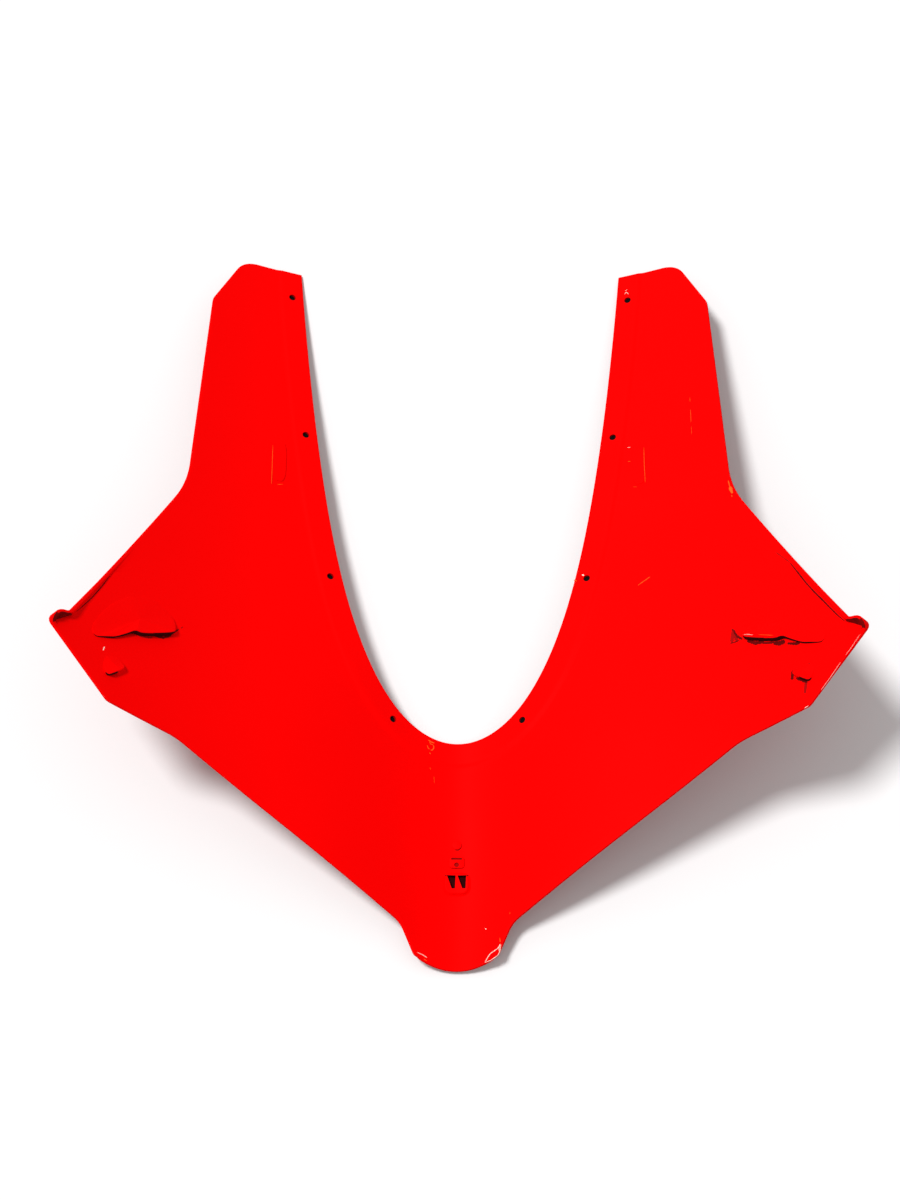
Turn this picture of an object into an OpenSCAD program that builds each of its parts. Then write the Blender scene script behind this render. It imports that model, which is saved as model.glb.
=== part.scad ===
// Upper fairing of a motorcycle, one moulding with a U-shaped cut for the screen.
// It lies with its outer face down: X across, Y from the nose to the arm tops, Z up.
// Plan sizes are measured from above, and heights follow one formula, rise().

/* [Overall] */
// Width across the two wing tips
wing_span = 676; // [620:1:740]
// Distance from the bottom of the screen cut to the nose tip
nose_length = 203; // [180:1:230]
// Wall of the moulding
wall = 3; // [2:0.1:4]

/* [Screen cut] */
// Width of the cut between the arm tops
cut_width = 288; // [250:1:310]
// Depth of the cut from the arm tops to its bottom
cut_depth = 447; // [420:1:480]
// Fullness of the bottom of the cut, where a larger number is wider and flatter
cut_fullness = 0.88; // [0.5:0.01:1.1]
// Width of the land that the screen lies on
land_width = 17; // [15:0.5:20]
// Depth of that land below the outer face
land_depth = 1.5; // [0.5:0.1:2.5]
// Bore of the screen screw holes
screw_bore = 6; // [4:0.1:7]
// Distance of each hole from the edge of the cut
screw_inset = 10.5; // [8:0.5:12]

/* [Arms and wings] */
// Width of an arm at its top
arm_width = 77; // [60:1:90]
// Bevel across the outer corner of the arm top
arm_bevel = 40; // [20:1:50]
// Width across the waists, where the arms meet the wings
waist_width = 471; // [450:1:490]
// Height in plan of the waists above the bottom of the cut
waist_up = 213; // [190:1:230]
// Height in plan of the wing tips above the bottom of the cut
tip_up = 47; // [35:1:60]
// Width across the lower corners of the wings
jaw_width = 582; // [560:1:600]
// Width of the nose end
nose_width = 72; // [60:1:90]

/* [Section] */
// Slope of the sides, as rise for each mm outward
side_slope = 0.34; // [0.25:0.01:0.45]
// Extra slope of the nose beside its ridge
prow_slope = 0.48; // [0.3:0.01:0.6]
// Rounding of the ridge
ridge_round = 38; // [20:1:55]
// How far the wing tips turn up from the straight slope
wing_flare = 42; // [20:1:60]
// How far the nose tip curls up from the ridge
nose_curl = 4; // [1:0.5:8]

/* [Edges and bosses] */
// Height of the turned edge round the wing ends
lip_height = 7; // [4:0.5:10]
// Thickness of the turned edge
lip_wall = 3; // [2:0.1:4]
// Height of the wing plateaus above the inner face
plateau_height = 6; // [4:0.5:8]
// Height of the small lugs under the plateaus
lug_height = 5; // [3:0.5:7]
// Length of the flat pads on the arms
pad_length = 40; // [30:1:50]
// Height of those pads
pad_height = 0.8; // [0.5:0.1:2]
// Width of the top of the clip boss inside the nose
clip_width = 20; // [16:0.5:24]
// Height of the clip boss above the inner face
clip_height = 3; // [2:0.5:5]
// Rib between the two pockets of the clip boss
clip_rib = 1.6; // [1.2:0.1:2.4]

/* [Hidden] */
$fn = 48;

cut_y = -75.5;
top_y = cut_y + cut_depth;
tip_y = cut_y + tip_up;
waist_y = cut_y + waist_up;
nose_y = cut_y - nose_length;
tip_x = wing_span / 2;
jaw_x = jaw_width / 2;
cut_x = cut_width / 2;
arm_x = cut_x + arm_width;
nose_x = nose_width / 2;
nose_arc = 64;
crown_up = 5;
nose_end_y = nose_y + nose_arc - sqrt(nose_arc * nose_arc - nose_x * nose_x);

// The line round one half, from the arm top to the nose, corner by corner. Each
// corner has its place, its radius and the share of the way up the screen cut
// that faces it.
CORNERS = [
    [cut_x, top_y, 0, 1],
    [arm_x - 25, top_y + crown_up + 0.5, 16, 0.985],
    [arm_x, top_y - arm_bevel, 14, 0.957],
    [waist_width / 2, waist_y, 85, 0.7],
    [tip_x - 34, tip_y + 48, 30, 0.54],
    [tip_x - 11, tip_y + 9.5, 5.5, 0.475],
    [tip_x + 7.5, tip_y + 8.5, 7, 0.44],
    [jaw_x, tip_y - 60, 9, 0.352],
    [jaw_x - 56, tip_y - 80, 60, 0.3],
    [nose_x + 12, nose_y + 38.5, 24, 0.068],
    [nose_x, nose_end_y, 5, 0.05],
    [0, nose_y, 0, 0]
];
LAST = len(CORNERS) - 1;
straight_step = 14;

// Where the height formula changes along the length
curl_y = cut_y - 124;
prow_from = cut_y - 35;
prow_to = waist_y;
droop_from = cut_y + 135;
droop_blend = 120;
prow_reach = 70;
flare_from = 150;

screw_places = [0.972, 0.792, 0.566, 0.22];
land_ramp = 6;
lip_draft = 0.8;
lip_run = 0.5;
clip_y = cut_y - 125.8;
clip_length = 15;
clip_wall = 1.8;
clip_slope = 3;
clip_floor = 2;
pocket_length = 11.5;
pocket_up = 1.5;
pocket_width = (clip_width - clip_rib) / 2 - clip_wall;
boss_round = 2.5;
locator_y = cut_y - 106.5;
locator_width = 13;
locator_length = 10;
locator_height = 2;
locator_floor = 0.8;
dimple_size = 4;
dimple_down = 2.3;
slot_width = 9;
slot_length = 1.8;
slot_up = 3;
stop_y = cut_y - 91;
stop_width = 8;
stop_height = 1.8;
pad_width = 11.5;
pad_x = cut_x + 14.5;
pad_y = waist_y + 36;
middle_y = (top_y + crown_up + nose_y) / 2;
middle_columns = 8;
sink = 1.2;
foot_rise = 0.2;
hole_reach = 12;

function unit(v) = v / norm(v);
function mix(a, b, k) = a + (b - a) * k;
function clamp(v) = max(0, min(1, v));
function ease(a, b, v) = let (k = clamp((v - a) / (b - a))) k * k * (3 - 2 * k);
function turned(v, a) = [v.x * cos(a) - v.y * sin(a), v.x * sin(a) + v.y * cos(a)];

// Height of the outer face before the arms drop: a rounded ridge with straight
// sides, steeper beside the nose, flaring at the wings and curling up at the nose.
function tanh(v) = let (e = exp(2 * v)) (e - 1) / (e + 1);
function ridge(x) = sqrt(x * x + ridge_round * ridge_round) - ridge_round;
function shell_rise(x, y) =
    side_slope * ridge(x)
    + prow_slope * prow_reach * tanh(ridge(x) / prow_reach) * (1 - ease(prow_from, prow_to, y))
    + wing_flare * pow(max(0, abs(x) - flare_from) / (tip_x - flare_from), 2)
    + nose_curl * pow(max(0, curl_y - y) / (curl_y - nose_y), 2);

// The arms drop in a straight line that starts softly, by as much as brings the
// inner corners of their tops down to the ground.
function drop_run(y) =
    let (u = max(0, y - droop_from)) u < droop_blend ? u * u / (2 * droop_blend) : u - droop_blend / 2;
droop = (shell_rise(cut_x, top_y) + land_depth) / drop_run(top_y);
function rise(x, y) = shell_rise(x, y) - droop * drop_run(y);

// The upward normal of the outer face, from its slopes
function normal(x, y) = unit([
    rise(x - 0.5, y) - rise(x + 0.5, y),
    rise(x, y - 0.5) - rise(x, y + 0.5),
    1
]);
function lifted(p, h, up = 0) = [p.x, p.y, rise(p.x, p.y) + up] + normal(p.x, p.y) * h;

// The edge of the screen cut: 0 is its bottom and 1 the arm top
function cut_edge(t) = [
    cut_x * t * (1 + cut_fullness) / (1 + cut_fullness * t),
    cut_y + cut_depth * t * t
];
function cut_normal(t) =
    let (d = unit(cut_edge(t + 0.001) - cut_edge(t - 0.001))) [d.y, -d.x];
function inside_cut(t, d) = cut_edge(t) + cut_normal(t) * d;

// A corner rounded to its radius, and the straight run that follows it. Each
// point carries how far round the list of corners it is.
function fillet(i) =
    let (
        b = [CORNERS[i].x, CORNERS[i].y],
        u = unit([CORNERS[i - 1].x, CORNERS[i - 1].y] - b),
        v = unit([CORNERS[i + 1].x, CORNERS[i + 1].y] - b),
        half = acos(u * v) / 2,
        r = CORNERS[i][2],
        centre = b + unit(u + v) * r / sin(half),
        first = b + u * r / tan(half) - centre,
        sweep = (u.x * v.y - u.y * v.x > 0 ? -1 : 1) * (180 - 2 * half),
        n = max(2, ceil(abs(sweep) / 14))
    )
    [for (k = [0 : n]) let (p = centre + turned(first, sweep * k / n)) [p.x, p.y, i - 0.1 + 0.2 * k / n]];
function run(a, b) =
    let (n = ceil(norm([b.x - a.x, b.y - a.y]) / straight_step))
    n < 2 ? [] : [for (k = [1 : n - 1]) mix(a, b, k / n)];
function nose_end(n) =
    [for (k = [1 : n]) let (x = nose_x * 0.86 * (1 - k / n))
        [x, nose_y + nose_arc - sqrt(nose_arc * nose_arc - x * x), LAST - 1 + 0.14 + 0.86 * k / n]];
OUTLINE = [
    for (i = [1 : LAST - 1]) each concat(
        fillet(i),
        i < LAST - 1
            ? let (f = fillet(i), g = fillet(i + 1)) run(f[len(f) - 1], g[0])
            : nose_end(4)
    )
];
STATIONS = len(OUTLINE);
FACING = [for (i = [0 : LAST]) [i, CORNERS[i][3]]];
function facing(j) = j == 0 ? 1 : lookup(OUTLINE[j].z, FACING);
function edge(j) = [OUTLINE[j].x, OUTLINE[j].y];

// The line inset from the outline. It runs along the arm top at the first
// station and square to the outline after the first few.
function inset(j, d) =
    let (
        a = j == STATIONS - 1 ? [-edge(j - 1).x, edge(j - 1).y] : edge(j + 1),
        b = j == 0 ? edge(0) : edge(j - 1),
        along = unit(a - b),
        square = [along.y, -along.x],
        across = unit(cut_edge(facing(j)) - edge(j)),
        k = j == STATIONS - 1 ? 0 : ease(0, 6, j)
    )
    edge(j) + unit(mix(across, square, k)) * d;

// How high the edge is turned up: low along the upper edge of the wing, full
// height round its tip, and run out there, so the lower edge is plain.
function lip(p) =
    lip_height
    * (lip_run * ease(tip_x - 62, tip_x - 22, p.x) + (1 - lip_run) * ease(tip_x - 26, tip_x - 4, p.x))
    * ease(tip_y - 5, tip_y + 5, p.y);

// The foot of the turned edge follows the outline, but runs straight on across
// the nub at each wing tip, which leaves a small sloping pocket inside the nub.
function plain_foot(j) = inset(j, lip_wall + lip_draft);
NUB = [for (j = [0 : STATIONS - 1]) if (OUTLINE[j].z >= 4.9 && OUTLINE[j].z <= 6.1) j];
function foot(j) =
    let (
        a = NUB[0],
        b = NUB[len(NUB) - 1],
        k = (OUTLINE[j].z - OUTLINE[a].z) / (OUTLINE[b].z - OUTLINE[a].z)
    )
    j > a && j < b ? mix(plain_foot(a), plain_foot(b), k) : plain_foot(j);

// One cross-section from the screen cut to the outline. Each entry is a place in
// plan, how far the land lifts it and how much the lip adds to the wall.
function section(j) =
    let (
        t = facing(j),
        k = j == 0 ? 1 : 0,
        first = unit(edge(0) - cut_edge(1)),
        a = k ? cut_edge(1) + first * land_width : inside_cut(t, land_width),
        b = k ? cut_edge(1) + first * (land_width + land_ramp) : inside_cut(t, land_width + land_ramp),
        high = lip(edge(j))
    )
    concat(
        [[cut_edge(t), land_depth, 0], [a, land_depth, 0]],
        [for (c = [0 : middle_columns]) [mix(b, foot(j), c / middle_columns), 0, 0]],
        [[inset(j, lip_wall), 0, high], [edge(j), 0, high]]
    );
COLUMNS = middle_columns + 5;

function outer_points(s) = [for (e = s) lifted(e[0], 0, e[1])];
function inner_points(s) = [for (c = [len(s) - 1 : -1 : 0]) lifted(s[c][0], wall + s[c][2], s[c][1])];
function ring(j) = let (s = section(j)) concat(outer_points(s), inner_points(s));
function mirrored(points) = [for (p = points) [-p.x, p.y, p.z]];

// The whole skin: a loft through the sections of one half and their mirror
module skin() {
    half = [for (j = [0 : STATIONS - 1]) ring(j)];
    rings = concat(half, [for (j = [STATIONS - 2 : -1 : 0]) mirrored(half[j])]);
    n = 2 * COLUMNS;
    last = len(rings) - 1;
    sides = [
        for (j = [0 : last - 1], k = [0 : n - 1])
            let (
                a = j * n + k,
                b = j * n + (k + 1) % n,
                c = a + n,
                d = b + n
            )
            each (j < last / 2 ? [[a, c, b], [b, c, d]] : [[a, d, b], [a, c, d]])
    ];
    ends = [
        for (c = [0 : COLUMNS - 2])
            let (p = c, q = c + 1, r = n - 2 - c, s = n - 1 - c, o = last * n)
            each [[p, q, r], [p, r, s], [o + p, o + r, o + q], [o + p, o + s, o + r]]
    ];
    polyhedron(points = [for (r = rings) each r], faces = concat(sides, ends), convexity = 10);
}

// A raised shape on the inner face: its outline is carried up from inside the
// wall. Each point has its place and its share of the height, so that a shape
// can run out into the face on one side.
module raised(outline, centre, height, taper = 0.94) {
    n = len(outline);
    function top(p) = wall + max(foot_rise, height * p.z);
    rim = [for (p = outline) mix(centre, p, taper)];
    core = [for (p = outline) mix(centre, p, taper / 2)];
    points = concat(
        [for (p = outline) lifted(p, wall - sink)],
        [for (p = outline) lifted(p, wall + foot_rise)],
        [for (p = rim) lifted(p, top(p))],
        [for (p = core) lifted(p, top(p))],
        [lifted(centre, wall - sink), lifted(centre, top(centre))]
    );
    faces = concat(
        [for (r = [0 : 2], k = [0 : n - 1])
            let (a = r * n + k, b = r * n + (k + 1) % n) each [[a, a + n, b], [b, a + n, b + n]]],
        [for (k = [0 : n - 1]) [k, (k + 1) % n, 4 * n]],
        [for (k = [0 : n - 1]) [3 * n + k, 4 * n + 1, 3 * n + (k + 1) % n]]
    );
    polyhedron(points = points, faces = faces, convexity = 4);
}

// A rectangle with its edges in short steps, for a raised shape
function box_line(w, h, step) =
    let (c = [[w, h], [-w, h], [-w, -h], [w, -h]] / 2)
    [for (i = [0 : 3]) let (a = c[i], b = c[(i + 1) % 4], n = max(1, round(norm(b - a) / step)))
        for (k = [0 : n - 1]) mix(a, b, k / n)];
function moved(line, v) = [for (p = line) [p.x + v.x, p.y + v.y, 1]];

// The wing plateau: a stepped lower edge at full height, running out into the
// face along its upper edge. Each point is measured from the wing tip.
PLATEAU = [
    [-96, 29, 0.1], [-97.5, 20, 0.5], [-96, 13, 1], [-92.5, 11, 1],
    [-81, 7.5, 1], [-69, 4.8, 1], [-64, 6.6, 0.9], [-57, 2, 0.7],
    [-49, -2.5, 0.5], [-42, -3.8, 0.4], [-34.5, -5, 0.15], [-31, 3, 0],
    [-37, 17, 0], [-48, 32, 0], [-61, 42, 0], [-80, 43, 0]
];
LUG = [
    [-58, -26, 0.5], [-57.5, -31, 1], [-47, -38.5, 1], [-44.5, -37, 0.4],
    [-42, -29, 0], [-44, -20, 0], [-52, -19, 0.1]
];
function at_wing(line) = [for (p = line) [tip_x + p.x, tip_y + p.y, p.z]];

module wing_bosses() {
    raised(at_wing(PLATEAU), [tip_x - 68, tip_y + 20, 0.4], plateau_height, 0.95);
    raised(at_wing(LUG), [tip_x - 50, tip_y - 28, 0.5], lug_height, 0.88);
    pad = [pad_x, pad_y, 1];
    raised(moved(box_line(pad_width, pad_length, 10), pad), pad, pad_height, 0.96);
}

// A flat shape with rounded corners
module rounded(w, l, r) {
    square([w - 2 * r, l], center = true);
    square([w, l - 2 * r], center = true);
    for (x = [-1, 1], y = [-1, 1])
        translate([x * (w / 2 - r), y * (l / 2 - r)])
            circle(r);
}

// The nose bosses stand on the ridge: a clip boss with sloping sides, a locating
// pad above it with a slot and a dimple in it, and a small round stop.
module on_ridge(y, height) {
    translate([0, y, wall - sink])
        linear_extrude(height + sink)
            children();
}
module nose_bosses() {
    clip = [0, clip_y, 1];
    raised(
        moved(box_line(clip_width + 2 * clip_slope, clip_length + 2 * clip_slope, 10), clip),
        clip, clip_height, clip_width / (clip_width + 2 * clip_slope)
    );
    difference() {
        on_ridge(locator_y, locator_height)
            rounded(locator_width, locator_length, boss_round);
        translate([0, locator_y, wall + locator_floor]) {
            translate([0, -dimple_down, 0])
                cylinder(d = dimple_size, h = locator_height);
            translate([-slot_width / 2, slot_up - slot_length / 2, 0])
                cube([slot_width, slot_length, locator_height]);
        }
    }
    on_ridge(stop_y, stop_height)
        circle(d = stop_width);
}

// Two wedge-shaped pockets with a rib between them go through the clip boss and
// some way into the wall below it.
module clip_pockets() {
    w = pocket_width;
    for (x = [-w - clip_rib / 2, clip_rib / 2])
        translate([x, clip_y + pocket_up + pocket_length / 2, clip_floor])
            linear_extrude(wall + 2 * clip_height)
                polygon([[0, 0], [w, 0], [w * 0.92, -pocket_length], [w * 0.56, -pocket_length]]);
}

// The screw holes stand square to the face
module screw_holes() {
    for (t = screw_places) {
        place = inside_cut(t, screw_inset);
        n = normal(place.x, place.y);
        translate(lifted(place, -hole_reach / 2))
            rotate([0, acos(n.z), atan2(n.y, n.x)])
                cylinder(d = screw_bore, h = wall + land_depth + hole_reach);
    }
}

module fairing_panel() {
    color("red")
        translate([0, -middle_y, 0])
            difference() {
                union() {
                    skin();
                    nose_bosses();
                    wing_bosses();
                    mirror([1, 0, 0]) wing_bosses();
                }
                clip_pockets();
                screw_holes();
                mirror([1, 0, 0]) screw_holes();
            }
}

fairing_panel();
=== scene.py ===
"""Upper fairing of a motorcycle, lying on its outer face and seen from inside.

The panel is one moulding, sprayed red on both faces. All sizes below are in
millimetres and are turned to metres where a mesh is made. The plan, the height
formula and the bosses are those of the construction model, drawn here finely
and with their edges rounded.
"""

import bpy
import numpy as np
from mathutils import Matrix


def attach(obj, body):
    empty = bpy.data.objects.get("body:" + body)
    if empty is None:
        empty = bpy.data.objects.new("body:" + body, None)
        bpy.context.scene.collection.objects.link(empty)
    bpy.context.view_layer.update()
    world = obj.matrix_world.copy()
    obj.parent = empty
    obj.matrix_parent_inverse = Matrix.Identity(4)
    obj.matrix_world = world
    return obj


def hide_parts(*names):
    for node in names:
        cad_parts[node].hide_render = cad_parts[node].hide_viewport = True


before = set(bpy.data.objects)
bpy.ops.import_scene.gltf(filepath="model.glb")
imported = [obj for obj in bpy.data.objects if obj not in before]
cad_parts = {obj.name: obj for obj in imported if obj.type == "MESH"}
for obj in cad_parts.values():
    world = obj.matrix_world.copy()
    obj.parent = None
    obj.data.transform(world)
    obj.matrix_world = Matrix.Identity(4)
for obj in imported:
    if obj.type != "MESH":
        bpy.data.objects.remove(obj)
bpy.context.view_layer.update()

# The shell
# The real piece is one injection moulding of ABS about 3 mm thick. It is curved
# two ways, with a land set back round the screen cut and an edge that turns up
# round the wing ends. Its form is a loft of cross-sections from cut to outline.
MM = 0.001
WING_SPAN = 676.0
NOSE_LENGTH = 203.0
WALL = 3.0
CUT_WIDTH = 288.0
CUT_DEPTH = 447.0
CUT_FULLNESS = 0.88
LAND_WIDTH = 17.0
LAND_RAMP = 6.0
LAND_DEPTH = 1.5
ARM_WIDTH = 77.0
ARM_BEVEL = 40.0
WAIST_WIDTH = 471.0
WAIST_UP = 213.0
TIP_UP = 47.0
JAW_WIDTH = 582.0
NOSE_WIDTH = 72.0
NOSE_ARC = 64.0
CROWN_UP = 5.0
SIDE_SLOPE = 0.34
PROW_SLOPE = 0.48
PROW_REACH = 70.0
RIDGE_ROUND = 38.0
WING_FLARE = 42.0
FLARE_FROM = 150.0
NOSE_CURL = 4.0
LIP_HEIGHT = 7.0
LIP_WALL = 3.0
LIP_DRAFT = 0.8
LIP_RUN = 0.5
EDGE_ROUND = 0.8
TURN_RUN = 25.0

CUT_Y = -75.5
TOP_Y = CUT_Y + CUT_DEPTH
TIP_Y = CUT_Y + TIP_UP
WAIST_Y = CUT_Y + WAIST_UP
NOSE_Y = CUT_Y - NOSE_LENGTH
CURL_Y = CUT_Y - 124
PROW_FROM = CUT_Y - 35
DROOP_FROM = CUT_Y + 135
DROOP_BLEND = 120.0
TIP_X = WING_SPAN / 2
CUT_X = CUT_WIDTH / 2
ARM_X = CUT_X + ARM_WIDTH
JAW_X = JAW_WIDTH / 2
NOSE_X = NOSE_WIDTH / 2
MIDDLE_Y = (TOP_Y + CROWN_UP + NOSE_Y) / 2


def ease(start, end, value):
    """0 before start and 1 after end, joined by the cubic k * k * (3 - 2k)."""
    k = np.clip((value - start) / (end - start), 0, 1)
    return k * k * (3 - 2 * k)


def unit(v):
    """Each vector divided by its length."""
    return v / np.linalg.norm(v, axis=-1, keepdims=True)


def shell_rise(x, y):
    """A rounded ridge with straight sides, sqrt(x*x + r*r) - r, which are steeper
    beside the nose, plus the flare of the wings and the curl of the nose tip."""
    ridge = np.sqrt(x * x + RIDGE_ROUND**2) - RIDGE_ROUND
    prow = PROW_SLOPE * PROW_REACH * np.tanh(ridge / PROW_REACH)
    out = np.maximum(0, np.abs(x) - FLARE_FROM) / (TIP_X - FLARE_FROM)
    curl = np.maximum(0, CURL_Y - y) / (CURL_Y - NOSE_Y)
    return (
        SIDE_SLOPE * ridge
        + prow * (1 - ease(PROW_FROM, WAIST_Y, y))
        + WING_FLARE * out**2
        + NOSE_CURL * curl**2
    )


def drop_run(y):
    """Length over which the arms have dropped: quadratic at first, then straight."""
    u = np.maximum(0, y - DROOP_FROM)
    return np.where(u < DROOP_BLEND, u * u / (2 * DROOP_BLEND), u - DROOP_BLEND / 2)


DROOP = (shell_rise(CUT_X, TOP_Y) + LAND_DEPTH) / drop_run(TOP_Y)


def rise(x, y):
    """Height of the outer face: the shell less the straight drop of the arms."""
    return shell_rise(x, y) - DROOP * drop_run(y)


def normal(place):
    """Upward normal of the outer face, from the slopes across one millimetre."""
    x, y = place[..., 0], place[..., 1]
    return unit(np.stack([
        rise(x - 0.5, y) - rise(x + 0.5, y),
        rise(x, y - 0.5) - rise(x, y + 0.5),
        np.ones_like(x),
    ], axis=-1))


def lifted(place, height, up=0.0):
    """The point at that height above the outer face, measured square to it, and
    raised by up besides."""
    x, y = place[..., 0], place[..., 1]
    face = np.stack([x, y, rise(x, y) + up], axis=-1)
    return face + normal(place) * np.asarray(height)[..., None]


def cut_edge(t):
    """The screen cut: x is w * t * (1 + f) / (1 + f * t), y rises with t squared."""
    t = np.asarray(t, float)
    return np.stack([
        CUT_X * t * (1 + CUT_FULLNESS) / (1 + CUT_FULLNESS * t),
        CUT_Y + CUT_DEPTH * t * t,
    ], axis=-1)


def inside_cut(t, distance):
    """The line that runs at that distance from the screen cut."""
    t = np.asarray(t, float)
    along = unit(cut_edge(t + 0.001) - cut_edge(t - 0.001))
    square = np.stack([along[..., 1], -along[..., 0]], axis=-1)
    return cut_edge(t) + square * np.asarray(distance)[..., None]


NOSE_END_Y = NOSE_Y + NOSE_ARC - np.sqrt(NOSE_ARC**2 - NOSE_X**2)
# Corners of the outline of one half, with the radius of each and the share of
# the way up the screen cut that faces it
CORNERS = np.array([
    [CUT_X, TOP_Y, 0, 1],
    [ARM_X - 25, TOP_Y + CROWN_UP + 0.5, 16, 0.985],
    [ARM_X, TOP_Y - ARM_BEVEL, 14, 0.957],
    [WAIST_WIDTH / 2, WAIST_Y, 85, 0.7],
    [TIP_X - 34, TIP_Y + 48, 30, 0.54],
    [TIP_X - 11, TIP_Y + 9.5, 5.5, 0.475],
    [TIP_X + 7.5, TIP_Y + 8.5, 7, 0.44],
    [JAW_X, TIP_Y - 60, 9, 0.352],
    [JAW_X - 56, TIP_Y - 80, 60, 0.3],
    [NOSE_X + 12, NOSE_Y + 38.5, 24, 0.068],
    [NOSE_X, NOSE_END_Y, 5, 0.05],
    [0, NOSE_Y, 0, 0],
])
# Distance between points along the outline, points along half the nose arc, and
# the angles of the quarter circle that rounds an edge
STEP = 3.0
NOSE_POINTS = 14
QUARTER = np.radians([0, 22.5, 45, 67.5, 90])
# The turned edge starts along the upper side of the wing, is full near the tip and
# ends just below it. Its foot is a cove, given as shares of its run and its height
LIP_STARTS = (TIP_X - 62, TIP_X - 22)
LIP_IS_FULL = (TIP_X - 26, TIP_X - 4)
LIP_ENDS = (TIP_Y - 5, TIP_Y + 5)
LIP_COVE = ((0.45, 0.35), (0.75, 0.1))


def outline():
    """The outline of one half from the arm top to the nose. Each corner is an arc
    of its radius and the runs between are straight. The third column counts the
    corners, and runs from i - 0.1 to i + 0.1 through the arc at corner i."""
    pieces = []
    last = len(CORNERS) - 1
    for i in range(1, last):
        corner, radius = CORNERS[i, :2], CORNERS[i, 2]
        back = unit(CORNERS[i - 1, :2] - corner)
        ahead = unit(CORNERS[i + 1, :2] - corner)
        half = np.arccos(back @ ahead) / 2
        centre = corner + unit(back + ahead) * radius / np.sin(half)
        first = corner + back * radius / np.tan(half) - centre
        clockwise = back[0] * ahead[1] - back[1] * ahead[0] > 0
        sweep = (-1 if clockwise else 1) * (np.pi - 2 * half)
        n = max(5, int(abs(sweep) * radius / STEP * 1.5))
        k = np.linspace(0, 1, n)
        turn = sweep * k
        arc = centre + np.stack([
            first[0] * np.cos(turn) - first[1] * np.sin(turn),
            first[0] * np.sin(turn) + first[1] * np.cos(turn),
        ], axis=-1)
        pieces.append(np.column_stack([arc, i - 0.1 + 0.2 * k]))
    joined = [pieces[0]]
    for before, after in zip(pieces[:-1], pieces[1:]):
        n = int(np.linalg.norm(after[0, :2] - before[-1, :2]) / STEP)
        k = np.linspace(0, 1, n + 2)[1:-1, None]
        joined += [before[-1] + (after[0] - before[-1]) * k, after]
    x = np.linspace(joined[-1][-1, 0], 0, NOSE_POINTS)[1:]
    y = NOSE_Y + NOSE_ARC - np.sqrt(NOSE_ARC**2 - x**2)
    count = last - 0.9 + 0.9 * np.linspace(0, 1, NOSE_POINTS)[1:]
    return np.vstack(joined + [np.column_stack([x, y, count])])


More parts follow.
